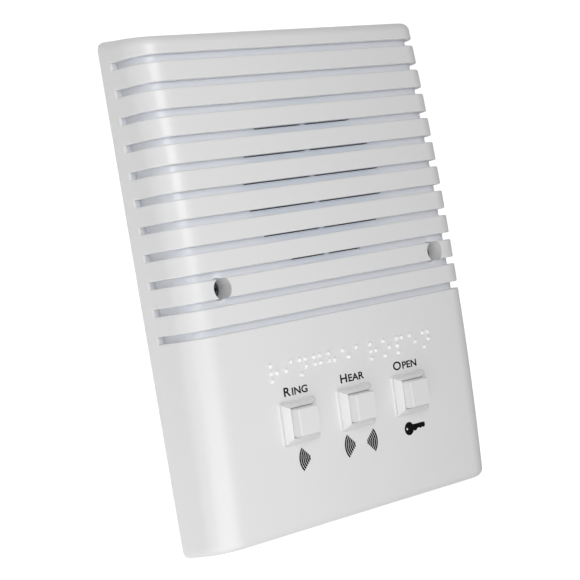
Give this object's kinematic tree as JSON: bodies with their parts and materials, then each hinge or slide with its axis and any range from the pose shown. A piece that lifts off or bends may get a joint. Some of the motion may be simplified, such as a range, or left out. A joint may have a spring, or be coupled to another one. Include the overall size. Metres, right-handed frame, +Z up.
{
  "type": "wall intercom speaker station",
  "caption": "Wall intercom speaker station: crowned plastic cover with grille grooves, square push buttons in raised frames, raised dots, loudspeaker, circuit board and steel wall plate.",
  "frame": {"origin": "centre of the wall side, which is also the centre of the box-slot pattern in the wall plate, on the plane that rests on the wall", "axes": "+X to the right as the panel is read, +Y into the wall (the face points along -Y), +Z up"},
  "size_m": [0.1256, 0.0266, 0.1614],
  "materials": {
    "cover_plastic": "satin moulded",
    "cap_plastic": "satin moulded",
    "black_plastic": "satin",
    "plunger_plastic": "satin",
    "plated_steel": "bright zinc plated",
    "dark_zinc": "dark zinc plated",
    "bright_zinc": "bright zinc plated",
    "spring_steel": "bright drawn wire",
    "tinned_metal": "tinned",
    "black_steel": "black painted",
    "ferrite": "dark ceramic",
    "copper": "enamelled wire",
    "cloth": "open weave",
    "foam": "closed-cell foam",
    "black_paper": "pressed paper",
    "surround_cloth": "treated cloth",
    "spider_cloth": "resin-treated cloth",
    "brown_board": "phenolic board",
    "green_board": "solder mask",
    "green_plastic": "moulded",
    "white_nylon": "moulded nylon",
    "red_insulation": "wire insulation",
    "black_insulation": "wire insulation",
    "capacitor_sleeve": "shrink sleeve",
    "resistor_coating": "lacquer"
  },
  "bodies": {
    "station": {"front_cover": "cover_plastic", "wall_plate": "plated_steel", "cover_screws": "dark_zinc", "left_switch_body": "black_plastic", "centre_switch_body": "black_plastic", "right_switch_body": "black_plastic", "left_switch_spring": "spring_steel", "centre_switch_spring": "spring_steel", "right_switch_spring": "spring_steel", "switch_pins": "tinned_metal", "speaker_cloth": "cloth", "speaker_gasket": "foam", "speaker_basket": "black_steel", "speaker_top_plate": "plated_steel", "speaker_magnet": "ferrite", "speaker_yoke": "plated_steel", "speaker_surround": "surround_cloth", "speaker_spider": "spider_cloth", "speaker_clamps": "plated_steel", "speaker_clamp_screws": "bright_zinc", "speaker_terminal_strip": "brown_board", "circuit_board": "green_board", "board_screws": "bright_zinc", "terminal_block": "green_plastic", "terminal_screws": "bright_zinc", "lead_header": "white_nylon", "lead_plug": "white_nylon", "speaker_lead_red": "red_insulation", "speaker_lead_black": "black_insulation", "coupling_capacitor": "capacitor_sleeve", "board_resistors": "resistor_coating"},
    "cone": {"speaker_cone": "black_paper", "speaker_dust_cap": "black_paper", "voice_coil": "copper"},
    "left_button": {"left_button_cap": "cap_plastic", "left_switch_plunger": "plunger_plastic"},
    "centre_button": {"centre_button_cap": "cap_plastic", "centre_switch_plunger": "plunger_plastic"},
    "right_button": {"right_button_cap": "cap_plastic", "right_switch_plunger": "plunger_plastic"}
  },
  "joints": [
    {"name": "cone_travel", "type": "slide", "parent": "station", "child": "cone", "axis": [0, 1, 0], "range_m": [-0.0005, 0.0005], "stiffness_N_per_m": 3000, "deforming": ["speaker_surround", "speaker_spider"]},
    {"name": "left_button_press", "type": "slide", "parent": "station", "child": "left_button", "axis": [0, 1, 0], "range_m": [0, 0.002], "stiffness_N_per_m": 800, "springref_m": -0.001, "deforming": ["left_switch_spring"]},
    {"name": "centre_button_press", "type": "slide", "parent": "station", "child": "centre_button", "axis": [0, 1, 0], "range_m": [0, 0.002], "stiffness_N_per_m": 800, "springref_m": -0.001, "deforming": ["centre_switch_spring"]},
    {"name": "right_button_press", "type": "slide", "parent": "station", "child": "right_button", "axis": [0, 1, 0], "range_m": [0, 0.002], "stiffness_N_per_m": 800, "springref_m": -0.001, "deforming": ["right_switch_spring"]}
  ]
}
